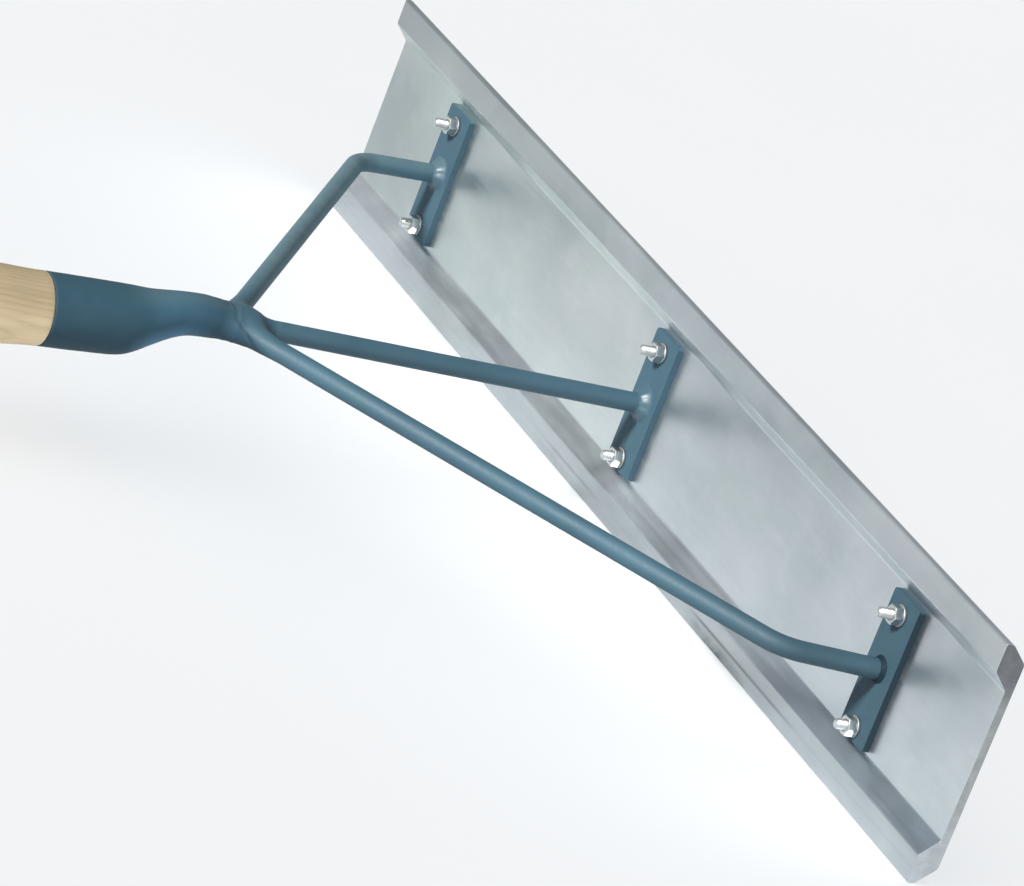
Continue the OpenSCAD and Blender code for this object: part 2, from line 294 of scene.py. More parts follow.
def aluminium_material(name, tone, length, scuff=0.0, marks=False):
    """Mill finish; tone scales its brightness, giving each copy its own painted shade, length paints brighter and
    darker reflections and shade along the blade, scuff adds dark rubbed patches, marks a drawing line and rubbed spots."""
    m, nt, b = new_material(name)
    p = coords(nt)
    shade = lambda *c: tuple(tone * v for v in c)
    clouds = tex_noise(nt, rescale(nt, p, (0.8, 1.0, 1.4)), 13.0, 3.0, 0.5, 0.5)
    tint = tex_noise(nt, rescale(nt, p, (0.9, 1.0, 1.2), (3.1, 0.4, 1.7)), 21.0, 2.0, 0.5, 0.3)
    mottle = tex_noise(nt, rescale(nt, p, (0.8, 1.0, 1.1), (1.9, 2.2, 0.3)), 46.0, 3.0, 0.55, 0.4)
    streaks = tex_noise(nt, rescale(nt, p, (0.022, 1.0, 1.0)), 380.0, 2.0, 0.55)
    grime = tex_noise(nt, rescale(nt, p, (0.6, 1.0, 1.0)), 58.0, 5.0, 0.6)
    col = ramp(nt, clouds, [(0.28, shade(0.530, 0.590, 0.622)), (0.50, shade(0.602, 0.656, 0.688)), (0.74, shade(0.668, 0.714, 0.738))])
    col = mix(nt, to_range(nt, tint, 0.0, 0.55, 0.50, 0.74), col, shade(0.622, 0.642, 0.694))
    col = mix(nt, to_range(nt, tint, 0.40, 0.0, 0.28, 0.48), col, shade(0.578, 0.660, 0.646))
    col = mix(nt, to_range(nt, mottle, 0.0, 0.45, 0.52, 0.72), col, shade(0.690, 0.735, 0.758))
    col = mix(nt, to_range(nt, streaks, 0.0, 0.12, 0.48, 0.76), col, shade(0.490, 0.532, 0.558))
    col = mix(nt, to_range(nt, grime, 0.0, 0.22, 0.58, 0.80), col, shade(0.415, 0.462, 0.488))
    # painted reflections and shade: the brightness changes along the blade
    along = to_range(nt, split(nt, p)["X"], 0.0, 1.0, -0.425, 0.425)
    col = mix(nt, 1.0, col, ramp(nt, along, length), "MULTIPLY")
    if marks:
        z = split(nt, p)["Z"]
        line = to_range(nt, math_node(nt, "ABSOLUTE", math_node(nt, "SUBTRACT", z, 0.0084)), 1.0, 0.0, 0.0001, 0.0014)
        where = ramp(nt, along, [(0.40, 0.05), (0.43, 0.40), (0.48, 0.35), (0.51, 0.05), (0.66, 0.08), (0.68, 0.85), (0.79, 0.70), (0.83, 0.10)])
        col = mix(nt, math_node(nt, "MULTIPLY", line, where), col, (0.110, 0.122, 0.126))
        spot = math_node(nt, "MULTIPLY", to_range(nt, z, 1.0, 0.0, 0.0020, 0.0085), to_range(nt, grime, 0.30, 1.0, 0.40, 0.58))
        where = ramp(nt, along, [(0.42, 0.0), (0.45, 0.30), (0.49, 0.0), (0.655, 0.0), (0.675, 1.0), (0.720, 0.85), (0.76, 0.0)])
        col = mix(nt, math_node(nt, "MULTIPLY", spot, where), col, (0.105, 0.118, 0.118))
    if scuff:
        rub = tex_noise(nt, rescale(nt, p, (0.16, 1.0, 1.0), (0.37, 0.0, 0.0)), 64.0, 4.0, 0.6)
        col = mix(nt, to_range(nt, rub, 0.0, scuff, 0.50, 0.68), col, (0.215, 0.240, 0.245))
    nt.links.new(col, b.inputs["Base Color"])
    b.inputs["Metallic"].default_value = 1.0
    r = math_node(nt, "ADD", to_range(nt, clouds, 0.31, 0.43, 0.3, 0.75), to_range(nt, streaks, -0.03, 0.04, 0.3, 0.7))
    nt.links.new(r, b.inputs["Roughness"])
    n = bump(nt, clouds, 0.12, 0.0016)
    n = bump(nt, streaks, 0.05, 0.00010, n)
    nt.links.new(n, b.inputs["Normal"])
    return m


def sawn_material():
    """Saw cut of the blade's ends, lighter towards the bottom and darker towards the top."""
    m, nt, b = new_material("sawn_aluminium")
    p = coords(nt)
    cuts = tex_noise(nt, rescale(nt, p, (1.0, 0.10, 1.0)), 1500.0, 3.0, 0.6)
    patches = tex_noise(nt, p, 120.0, 4.0, 0.6)
    height = to_range(nt, split(nt, p)["Z"], 0.0, 1.0, 0.0, BLADE_H * 0.001)
    col = ramp(nt, height, [(0.0, (0.530, 0.570, 0.600)), (0.17, (0.515, 0.555, 0.580)), (0.30, (0.440, 0.465, 0.470)),
                            (0.72, (0.365, 0.385, 0.390)), (0.84, (0.205, 0.216, 0.232)), (1.0, (0.195, 0.206, 0.222))])
    col = mix(nt, 1.0, col, ramp(nt, patches, [(0.35, 0.88), (0.65, 1.08)]), "MULTIPLY")
    col = mix(nt, 1.0, col, ramp(nt, cuts, [(0.40, 1.0), (0.75, 0.93)]), "MULTIPLY")
    nt.links.new(col, b.inputs["Base Color"])
    b.inputs["Metallic"].default_value = 1.0
    nt.links.new(to_range(nt, cuts, 0.40, 0.50, 0.3, 0.7), b.inputs["Roughness"])
    nt.links.new(bump(nt, cuts, 0.16, 0.00010), b.inputs["Normal"])
    return m


def paint_material(name, rough, spec=0.40, tone=1.0, flank_shade=False, fade=False):
    """Steel-blue coat; for the bracket plates it paints shade on the outer flank of the right bracket, fade runs into a
    bracket's coat.
    """
    m, nt, b = new_material(name)
    p = coords(nt)
    broad = tex_noise(nt, p, 24.0, 3.0, 0.55)
    blotch = tex_noise(nt, rescale(nt, p, (1.0, 1.0, 1.0), (2.3, 0.7, 4.1)), 90.0, 3.0, 0.55)
    peel = tex_noise(nt, p, 520.0, 2.0, 0.5)
    specks = tex_noise(nt, p, 2300.0, 1.0, 0.5)
    geo = nt.nodes.new("ShaderNodeNewGeometry")
    edge = to_range(nt, geo.outputs["Pointiness"], 0.0, 1.0, 0.520, 0.60)
    col = ramp(nt, broad, [(0.30, (0.0195, 0.0530, 0.0770)), (0.70, (0.0255, 0.0660, 0.0930))])
    col = mix(nt, to_range(nt, blotch, 0.0, 0.45, 0.45, 0.75), col, (0.0215, 0.0610, 0.0770))
    col = mix(nt, math_node(nt, "MULTIPLY", edge, 0.30), col, (0.060, 0.125, 0.165))
    col = mix(nt, to_range(nt, specks, 0.0, 0.20, 0.62, 0.75), col, (0.038, 0.088, 0.122))
    at = split(nt, p)
    # painted light and shade across the tool: the coat is lighter over the left half (a touch darker on the bracket
    # coats there) and darker by a quarter at the right bracket
    side = to_range(nt, at["X"], 0.0, 1.0, -0.425, 0.425)
    lift = tone * (0.96 if flank_shade or fade else 1.14)
    col = mix(nt, 1.0, col, ramp(nt, side, [(0.0, lift), (0.42, lift), (0.50, tone), (0.80, tone), (0.86, 0.74 * tone), (1.0, 0.74 * tone)]), "MULTIPLY")
    facing = split(nt, geo.outputs["Normal"])
    if flank_shade or fade:
        col = mix(nt, 1.0, col, (1.10, 0.92, 0.90), "MULTIPLY")
    # painted shade: the right bracket's outer flank turns near black
    if flank_shade:
        flank = math_node(nt, "MULTIPLY", to_range(nt, facing["X"], 0.0, 0.75, 0.5, 0.9), to_range(nt, at["X"], 0.0, 1.0, 0.20, 0.25))
        col = mix(nt, flank, col, (0.0035, 0.0100, 0.0160))
    dust = to_range(nt, facing["Z"], 0.0, 0.55, 0.05, 0.95)
    dust = math_node(nt, "MULTIPLY", dust, to_range(nt, at["X"], 1.0, 0.0, -0.09, -0.02))
    dust = math_node(nt, "MULTIPLY", dust, to_range(nt, blotch, 0.55, 1.15, 0.35, 0.65))
    col = mix(nt, dust, col, (0.080, 0.122, 0.128))
    # the forged socket took a flatter coat than the bars; its tone is darker at the cup, lighter along the neck and
    # darker again towards the hub
    toe = lie([[0, -268.2, MID_Z + 6]])[0]
    back = math_node(nt, "ADD", at["Y"], math_node(nt, "MULTIPLY", at["Z"], 0.95))
    toe = float(toe[1] + 0.95 * toe[2])
    # painted shade: a dark line along the toe where the neck ends on the bar, weaker on faces turned up
    toe_shade = ramp(nt, to_range(nt, back, 0.0, 1.0, toe - 0.003, toe + 0.003), [(0.22, 0.0), (0.45, 0.55), (0.55, 0.55), (0.80, 0.0)])
    toe_shade = math_node(nt, "MULTIPLY", toe_shade, to_range(nt, facing["Z"], 1.0, 0.25, 0.2, 0.9))
    back = to_range(nt, back, 1.0, 0.0, toe - 0.001, toe + 0.007)
    along = to_range(nt, at["Y"], 0.0, 1.0, lie([[0, -360, MID_Z]])[0][1], lie([[0, -258, MID_Z]])[0][1])
    coat = ramp(nt, along, [(0.0, (0.74, 0.73, 0.74)), (0.28, (0.77, 0.76, 0.77)), (0.45, (1.06, 1.06, 1.08)), (0.62, (1.04, 1.04, 1.08)), (0.82, (0.76, 0.76, 0.79)), (1.0, (0.58, 0.59, 0.63))])
    # painted reflection: the underside of the neck is made lighter, a sheen painted into the coat
    neck_sheen = math_node(nt, "MULTIPLY", to_range(nt, facing["Z"], 1.0, 0.0, -0.60, 0.05), ramp(nt, along, [(0.30, 0.0), (0.42, 1.0), (0.62, 1.0), (0.80, 0.0)]))
    coat = mix(nt, neck_sheen, coat, mix(nt, 1.0, coat, (2.25, 2.05, 2.20), "MULTIPLY"))
    col = mix(nt, back, col, mix(nt, 1.0, col, coat, "MULTIPLY"))
    film = math_node(nt, "MULTIPLY", to_range(nt, facing["Z"], 0.0, 0.30, 0.66, 0.95), ramp(nt, along, [(0.25, 0.0), (0.42, 1.0)]))
    col = mix(nt, math_node(nt, "MULTIPLY", film, back), col, (0.060, 0.091, 0.095))
    col = mix(nt, toe_shade, col, (0.007, 0.020, 0.032))
    nt.links.new(col, b.inputs["Base Color"])
    r = math_node(nt, "ADD", to_range(nt, broad, rough - 0.03, rough + 0.03, 0.3, 0.7), to_range(nt, peel, -0.03, 0.04, 0.3, 0.7))
    shine = to_range(nt, back, spec, 0.18)
    if fade:
        n = LIE_R @ np.array([0.0, -1.0, 0.0])
        face = float(n @ lie([[0, -BRACKET_T, MID_Z]])[0])
        d = nt.nodes.new("ShaderNodeVectorMath")
        d.operation = "DOT_PRODUCT"
        d.inputs[1].default_value = n
        nt.links.new(p, d.inputs[0])
        low = to_range(nt, d.outputs["Value"], 1.0, 0.0, face + 0.0003, face + 0.0022)
        r = math_node(nt, "ADD", r, math_node(nt, "MULTIPLY", low, FLAT_ROUGH - rough))
        shine = math_node(nt, "ADD", shine, math_node(nt, "MULTIPLY", low, FLAT_SPEC - spec))
    nt.links.new(r, b.inputs["Roughness"])
    nt.links.new(shine, b.inputs["Specular IOR Level"])
    n = bump(nt, broad, 0.25, 0.0006)
    n = bump(nt, blotch, 0.14, 0.0003, n)
    n = bump(nt, peel, 0.12, 0.00014, n)
    nt.links.new(n, b.inputs["Normal"])
    return m


def zinc_material(name, tone, rough):
    m, nt, b = new_material(name)
    p = coords(nt)
    tint = tex_noise(nt, p, 160.0, 2.0, 0.5)
    grain = tex_noise(nt, p, 1300.0, 3.0, 0.6)
    col = ramp(nt, tint, [(0.32, (0.50 * tone, 0.535 * tone, 0.555 * tone)), (0.55, (0.57 * tone, 0.59 * tone, 0.59 * tone)), (0.72, (0.565 * tone, 0.57 * tone, 0.53 * tone))])
    nt.links.new(col, b.inputs["Base Color"])
    b.inputs["Metallic"].default_value = 1.0
    nt.links.new(to_range(nt, grain, rough, rough + 0.14, 0.3, 0.7), b.inputs["Roughness"])
    nt.links.new(bump(nt, grain, 0.12, 0.00006), b.inputs["Normal"])
    return m


def wood_material():
    m, nt, b = new_material("ash_wood")
    mouth = lie([[0, MOUTH[0], MOUTH[1]]])[0]
    tilt = _d - LEAN
    tc = nt.nodes.new("ShaderNodeTexCoord")
    mp = nt.nodes.new("ShaderNodeMapping")
    mp.vector_type = "TEXTURE"
    mp.inputs["Location"].default_value = tuple(mouth)
    mp.inputs["Rotation"].default_value = (tilt, 0, 0)
    nt.links.new(tc.outputs["Object"], mp.inputs["Vector"])
    p = mp.outputs[0]                                   # Y runs along the handle
    warp = nt.nodes.new("ShaderNodeTexNoise")
    warp.inputs["Scale"].default_value = 1.0
    warp.inputs["Detail"].default_value = 3.0
    nt.links.new(rescale(nt, p, (14.0, 1.7, 14.0)), warp.inputs["Vector"])
    off = nt.nodes.new("ShaderNodeVectorMath")
    off.operation = "MULTIPLY_ADD"
    nt.links.new(warp.outputs["Color"], off.inputs[0])
    off.inputs[1].default_value = (0.011, 0.0, 0.011)
    nt.links.new(p, off.inputs[2])
    rings = nt.nodes.new("ShaderNodeMapping")           # the heart of the tree lies beside the handle
    rings.inputs["Location"].default_value = (0.052, 0.0, -0.034)
    rings.inputs["Rotation"].default_value = (0.010, 0.0, 0.012)
    rings.inputs["Scale"].default_value = (1.0, 0.0, 1.0)
    nt.links.new(off.outputs[0], rings.inputs["Vector"])
    dist = nt.nodes.new("ShaderNodeVectorMath")
    dist.operation = "LENGTH"
    nt.links.new(rings.outputs[0], dist.inputs[0])
    phase = math_node(nt, "FRACT", math_node(nt, "MULTIPLY", dist.outputs["Value"], 420.0))
    pores = tex_noise(nt, rescale(nt, p, (1.0, 0.022, 1.0)), 1500.0, 2.0, 0.55)
    fibre = tex_noise(nt, rescale(nt, p, (1.0, 0.030, 1.0)), 380.0, 4.0, 0.6)
    broad = tex_noise(nt, rescale(nt, p, (1.0, 0.12, 1.0)), 34.0, 3.0, 0.5)
    col = ramp(nt, phase, [(0.0, (0.425, 0.325, 0.190)), (0.16, (0.476, 0.374, 0.233)), (0.55, (0.514, 0.415, 0.269)), (0.88, (0.497, 0.395, 0.249)), (1.0, (0.425, 0.325, 0.190))])
    col = mix(nt, to_range(nt, fibre, 0.0, 0.50, 0.42, 0.72), col, (0.416, 0.316, 0.187))
    col = mix(nt, to_range(nt, broad, 0.0, 0.55, 0.42, 0.72), col, (0.544, 0.455, 0.317))
    early = to_range(nt, phase, 1.0, 0.25, 0.0, 0.35)
    dark = math_node(nt, "MULTIPLY", to_range(nt, pores, 0.0, 0.75, 0.60, 0.74), early)
    col = mix(nt, dark, col, (0.280, 0.193, 0.103))
    geo = nt.nodes.new("ShaderNodeNewGeometry")         # end grain drinks more oil
    end = nt.nodes.new("ShaderNodeVectorMath")
    end.operation = "DOT_PRODUCT"
    end.inputs[1].default_value = (0.0, -math.cos(tilt), -math.sin(tilt))
    nt.links.new(geo.outputs["Normal"], end.inputs[0])
    # painted shade and light: darker on the side that lies up and lighter underneath, as the stub in the photo is
    geo = nt.nodes.new("ShaderNodeNewGeometry")
    up = to_range(nt, split(nt, geo.outputs["Normal"])["Z"], 0.0, 1.0, -1.0, 1.0)
    col = mix(nt, 1.0, col, ramp(nt, up, [(0.27, 1.18), (0.47, 0.94), (0.65, (0.63, 0.62, 0.61)), (0.82, (0.47, 0.46, 0.45)), (1.0, (0.46, 0.45, 0.44))]), "MULTIPLY")
    col = mix(nt, to_range(nt, end.outputs["Value"], 0.0, 1.0, 0.60, 0.98), col, mix(nt, 1.0, col, (0.56, 0.52, 0.46), "MULTIPLY"))
    nt.links.new(col, b.inputs["Base Color"])
    nt.links.new(to_range(nt, fibre, 0.54, 0.72, 0.3, 0.7), b.inputs["Roughness"])
    b.inputs["Specular IOR Level"].default_value = 0.25
    n = bump(nt, fibre, 0.20, 0.00022)
    n = bump(nt, dark, -0.30, 0.00020, n)
    nt.links.new(n, b.inputs["Normal"])
    return m


def floor_material():
    m, nt, b = new_material("pale_floor")
    p = coords(nt)
    n = tex_noise(nt, p, 3.0, 2.0, 0.5)
    nt.links.new(ramp(nt, n, [(0.3, (0.865, 0.87, 0.875)), (0.7, (0.875, 0.88, 0.885))]), b.inputs["Base Color"])
    b.inputs["Roughness"].default_value = 0.9
    b.inputs["Specular IOR Level"].default_value = 0.15
    return m


# copies of the mill finish for the web, the lower slope, the upper rim and the lower rim, each with its own tone and
# its own painted reflections and shade along the blade
ALU = aluminium_material("mill_aluminium", 0.80, [(0.0, (0.90, 0.935, 0.895)), (0.17, (1.0, 1.03, 0.985)), (0.39, (1.11, 1.11, 1.08)), (0.58, 0.99), (0.72, 0.98), (0.88, 1.06), (1.0, 1.06)])
ALU_RAMP = aluminium_material("mill_aluminium_slope", 0.84, [(0.0, 1.28), (0.16, 1.28), (0.21, 1.13), (0.50, 1.09), (0.53, 1.34), (0.56, 1.30), (0.60, 0.95), (0.70, (0.98, 1.0, 1.02)), (0.80, (0.83, 0.87, 0.92)), (1.0, (0.80, 0.85, 0.91))], 0.30)
ALU_UPPER = aluminium_material("mill_aluminium_upper", 0.77, [(0.0, 0.80), (0.20, (0.91, 0.93, 0.90)), (0.45, (1.0, 1.01, 1.01)), (1.0, 1.03)])
ALU_LOWER = aluminium_material("mill_aluminium_lower", 0.72, [(0.0, 1.02), (0.35, 0.98), (0.62, 0.92), (0.75, 0.92), (0.85, 1.0)], 0.25, True)
SAWN = sawn_material()
FLAT_ROUGH, FLAT_SPEC, FLAT_TONE = 0.62, 0.20, 1.08
PAINT, PAINT_FLAT = paint_material("blue_paint", 0.62), paint_material("blue_paint_flat", FLAT_ROUGH, FLAT_SPEC, FLAT_TONE, flank_shade=True)
PAINT_WELD = paint_material("blue_paint_weld", 0.40, 0.44, FLAT_TONE, fade=True)
# a near-black copy of the coat for the right weld: painted shade around the bar's end
PAINT_WELD_SHADE = paint_material("blue_paint_weld_shade", 0.60, 0.08, 0.30)
ZINC, WOOD = zinc_material("zinc_plate", 1.0, 0.26), wood_material()
ZINC_DULL = zinc_material("zinc_plate_dull", 0.55, 0.46)


# ---------------------------------------------------------------- blade
def make_blade():
    f, bk, h = WEB_T, -RIM_OUT, BLADE_H
    out = rounded([
        (bk, 0, EDGE_R), (f - BEVEL_Y, 0, 5), (f, BEVEL_Z, 4),
        (f, h - BEVEL_Z, 4), (f - BEVEL_Y, h, 5), (bk, h, EDGE_R),
        (bk, h - RIM_H, 2.5), (0, h - RIM_H - RAMP_H, 3), (0, RIM_H + RAMP_H, 3), (bk, RIM_H, 2.5)], 7)
    n = len(out)
    half = BLADE_L / 2
    xs = [(-half, 0.3), (-half + 0.09, 0.09), (-half + 0.3, 0.0)]
    xs += [(x, 0.0) for x in np.linspace(-half + 0.3, half - 0.3, 35)[1:-1]]
    xs += [(half - 0.3, 0.0), (half - 0.09, 0.09), (half, 0.3)]
    rings = []
    for x, d in xs:
        q = inset(out, d) if d else out
        rings.append(np.concatenate([np.full((n, 1), x), q], 1))
    m = len(rings)
    faces = [(i * n + j, i * n + (j + 1) % n, (i + 1) * n + (j + 1) % n, (i + 1) * n + j) for i in range(m - 1) for j in range(n)]
    faces += [tuple(range(n)), tuple((m - 1) * n + j for j in range(n))]
    ob = link("blade_section", np.concatenate(rings), faces, 40, [ALU, SAWN, ALU_RAMP, ALU_UPPER, ALU_LOWER])
    # bolt holes
    parts = []
    for x in (-BRACKET_X, 0, BRACKET_X):
        for h in (-BOLT_LOW, BOLT_UP):
            c = circle(48, HOLE_R)
            parts.append(loft([np.stack([x + c[:, 0], np.full(48, y), MID_Z + h + c[:, 1]], 1) for y in (-4.0, WEB_T + 4)]))
    cut = link("cutter", *merge(parts))
    mod = ob.modifiers.new("holes", "BOOLEAN")
    mod.object, mod.operation, mod.solver = cut, "DIFFERENCE", "EXACT"
    wn = ob.modifiers.new("normals", "WEIGHTED_NORMAL")
    wn.keep_sharp, wn.weight = True, 100
    dg = bpy.context.evaluated_depsgraph_get()
    me = bpy.data.meshes.new_from_object(ob.evaluated_get(dg))
    old = ob.data
    ob.modifiers.clear()
    ob.data = me
    bpy.data.meshes.remove(old)
    bpy.data.objects.remove(cut)
    for pl in me.polygons:                                # sawn ends, lower slope, upper and lower rim
        c = LIE_R.T @ (np.array(pl.center) * 1000 - LIE_T)
        q = LIE_R.T @ np.array(pl.normal)
        rim = q[1] < -0.9 and c[1] < -RIM_OUT + 1
        pl.material_index = (1 if abs(q[0]) > 0.97 and abs(abs(c[0]) - half) < 0.01 else
                             2 if q[1] < -0.25 and q[2] > 0.25 and c[2] < BLADE_H / 2 else
                             3 if rim and c[2] > BLADE_H / 2 else 4 if rim else 0)
    return keep(ob, "aluminium", "blade")


make_blade()


# ---------------------------------------------------------------- brackets
def make_bracket(name, x):
    w, l = BRACKET_W / 2, BRACKET_L / 2
    outline = rounded([(-w, -l, 2), (w, -l, 2), (w, l, 2), (-w, l, 2)], 4)
    bm = bmesh.new()
    loops = [outline] + [circle(40, HOLE_R) + np.array([0, h]) for h in (-BOLT_LOW, BOLT_UP)]
    edges = []
    for lp in loops:
        vs = [bm.verts.new((q[0] + x, 0.0, q[1] + MID_Z)) for q in lp]
        edges += [bm.edges.new((vs[i], vs[(i + 1) % len(vs)])) for i in range(len(vs))]
    bmesh.ops.triangle_fill(bm, use_beauty=True, edges=edges)
    ext = bmesh.ops.extrude_face_region(bm, geom=bm.faces[:])
    bmesh.ops.translate(bm, verts=[g for g in ext["geom"] if isinstance(g, bmesh.types.BMVert)], vec=(0, -BRACKET_T, 0))
    bmesh.ops.recalc_face_normals(bm, faces=bm.faces)
    rim = [e for e in bm.edges if len(e.link_faces) == 2 and e.calc_face_angle() > math.radians(60)]
    bmesh.ops.bevel(bm, geom=rim, offset=0.55, segments=3, profile=0.5, affect="EDGES", clamp_overlap=True)
    bmesh.ops.triangulate(bm, faces=bm.faces)
    for v in bm.verts:
        v.co = Vector(lie([v.co[:]])[0])
    me = bpy.data.meshes.new(name)
    bm.to_mesh(me)
    bm.free()
    me.shade_smooth()
    me.set_sharp_from_angle(angle=math.radians(40))
    me.materials.append(PAINT_FLAT)
    ob = bpy.data.objects.new(name, me)
    bpy.context.scene.collection.objects.link(ob)
    wn = ob.modifiers.new("normals", "WEIGHTED_NORMAL")
    wn.keep_sharp, wn.weight = True, 100
    return ob


for side, x in (("left", -BRACKET_X), ("centre", 0.0), ("right", BRACKET_X)):
    keep(make_bracket(f"bracket_plate_{side}", x), "blue_paint", f"bracket_{side}")

# ---------------------------------------------------------------- braces
APEX, BEND = np.array([0.0, -APEX_Y]), np.array([BRACKET_X - BEND_IN, -BEND_Y])


def brace_path():
    a, b = (-BRACKET_X, -BRACKET_T), (BRACKET_X, -BRACKET_T)
    lb = (-BEND[0], BEND[1])
    keys = [[np.array(a)], corner(a, lb, APEX, BEND_R, 20), corner(lb, APEX, BEND, APEX_R, 32),
            corner(APEX, BEND, b, BEND_R, 20), [np.array(b)]]
    pts = list(keys[0])
    for part in keys[1:]:
        gap = np.linalg.norm(part[0] - pts[-1])
        k = max(1, int(gap / 14))
        pts += [pts[-1] + (part[0] - pts[-1]) * i / k for i in range(1, k)]
        pts += list(part)
    return np.array(pts)


def make_outer_brace():
    p = brace_path()
    n = 48
    rings = []
    for i in range(len(p)):
        if i == 0:
            t = unit(p[1] - p[0])
        elif i == len(p) - 1:
            t = unit(p[-1] - p[-2])
        else:
            t = unit(unit(p[i + 1] - p[i]) + unit(p[i] - p[i - 1]))
        side = np.array([-t[1], t[0]])
        c = circle(n, ROD_R)
        q = p[i] + c[:, :1] * side
        if i in (0, len(p) - 1):
            q = q + t * ((-BRACKET_T - q[:, 1]) / t[1])[:, None]
        rings.append(np.concatenate([q, (MID_Z + c[:, 1])[:, None]], 1))
    return link("outer_brace_bar", *loft(rings), 50, [PAINT])


keep(make_outer_brace(), "blue_paint", "outer_brace")

_arm = unit(BEND - APEX)
HALF_ARM = math.acos(_arm[1])
BEND_C = APEX[1] + APEX_R / math.sin(HALF_ARM)


def bulge(z, r):
    return np.sqrt(np.maximum(0, r * r - z * z))


def outside_y(x, z, r):
    return BEND_C - np.sqrt((APEX_R + bulge(z, r)) ** 2 - x * x)


def inside_y(x, z, r):
    return BEND_C - np.sqrt((APEX_R - bulge(z, r)) ** 2 - x * x)


def make_centre_brace():
    n = 48
    rings = []
    for k in (0.2, 0.4, 0.6, 0.8, 0.93, 1.0):
        c = circle(n, k * ROD_R)
        rings.append(np.stack([c[:, 0], inside_y(c[:, 0], c[:, 1], ROD_R + 0.05) + 0.05, MID_Z + c[:, 1]], 1))
    c = circle(n, ROD_R)
    for y in np.linspace(-200, -BRACKET_T, 15):
        rings.append(np.stack([c[:, 0], np.full(n, y), MID_Z + c[:, 1]], 1))
    return link("centre_brace_bar", *loft(rings), 50, [PAINT])


keep(make_centre_brace(), "blue_paint", "centre_brace")

# ---------------------------------------------------------------- socket
STATIONS = np.array([
    [266, 0.4, 10.4, 0], [272, 0.5, 10.8, 0], [284, 0.6, 11.6, 0], [292, 0.1, 11.9, 1],
    [300, -1.6, 12.9, 4], [308, -4.2, 14.3, 6], [316, -7.0, 16.2, 7],
    [325, -9.8, 18.8, 6], [333, -10.9, 19.6, DROOP],
    [MOUTH_Y, -MOUTH_DROP, MOUTH_R, DROOP]])


def station(i, t):
    m = len(STATIONS) - 1
    a, b, c = STATIONS[max(i - 1, 0)], STATIONS[i], STATIONS[i + 1]
    d = 2 * STATIONS[m] - STATIONS[m - 1] if i + 2 > m else STATIONS[i + 2]
    return 0.5 * (2 * b + (c - a) * t + (2 * a - 5 * b + 4 * c - d) * t * t + (3 * b - a - 3 * c + d) * t ** 3)


NECK_END = 282.0


def make_socket():
    n = 96
    u = circle(n)
    rings = []
    dense = np.array([station(i, t) for i in range(len(STATIONS) - 1) for t in np.linspace(0, 1, 25)[:-1]] + [STATIONS[-1]])
    at_y = np.linspace(NECK_END, MOUTH_Y, 76)
    run = np.stack([np.interp(at_y, dense[:, 0], dense[:, k]) for k in range(4)], 1)
    gap = at_y[:, None] - at_y[None, :]
    ker = np.exp(-0.5 * (gap / 3.5) ** 2)
    soft = (ker / ker.sum(1, keepdims=True)) @ run[:, 1:]
    w = np.clip(np.minimum((at_y - NECK_END) / 8, (MOUTH_Y - at_y) / 16), 0, 1)[:, None]
    run[:, 1:] += (soft - run[:, 1:]) * w * w * (3 - 2 * w)
    seq = list(run)
    for k in (0.3, 0.6, 0.9):                             # flat end of the neck, inside the weld
        s = seq[0]
        rings.append(np.stack([k * s[2] * u[:, 0], np.full(n, -s[0]), MID_Z + s[1] + k * s[2] * u[:, 1]], 1))
    seq = seq[:-1]
    for s in seq:
        a = math.radians(s[3])
        y = -s[0] - s[2] * u[:, 1] * math.sin(a)
        z = MID_Z + s[1] + s[2] * u[:, 1] * math.cos(a)
        r = np.stack([s[2] * u[:, 0], y, z], 1)
        mid = np.array([0, -s[0], MID_Z + s[1]])
        fade = min(1.0, max(0.0, (s[0] - 286) / 18)) * min(1.0, max(0.0, (374 - s[0]) / 10))
        for j in range(n):                                # hammered skin of the forging
            d = unit(r[j] - mid)
            lump = noise.noise(Vector(r[j] * 0.055)) * 0.28 + noise.noise(Vector(r[j] * 0.16)) * 0.10
            r[j] = r[j] + d * lump * fade
        rings.append(r)

    def at(depth, r):
        y = MOUTH[0] - AXIS_BACK[0] * depth + r * u[:, 1] * AXIS_UP[0]
        z = MOUTH[1] - AXIS_BACK[1] * depth + r * u[:, 1] * AXIS_UP[1]
        return np.stack([r * u[:, 0], y, z], 1)

    bore_r = MOUTH_R - SOCKET_WALL
    rings += [at(0.45, MOUTH_R - 0.02), at(0.12, MOUTH_R - 0.18), at(0.0, MOUTH_R - 0.55), at(0.0, bore_r + 0.5), at(0.12, bore_r + 0.15), at(0.5, bore_r)]
    rings += [at(BORE_L / 2, (bore_r + BORE_END_R) / 2), at(BORE_L, BORE_END_R)]
    return link("socket_forging", *loft(rings), 45, [PAINT])


keep(make_socket(), "blue_paint", "socket")


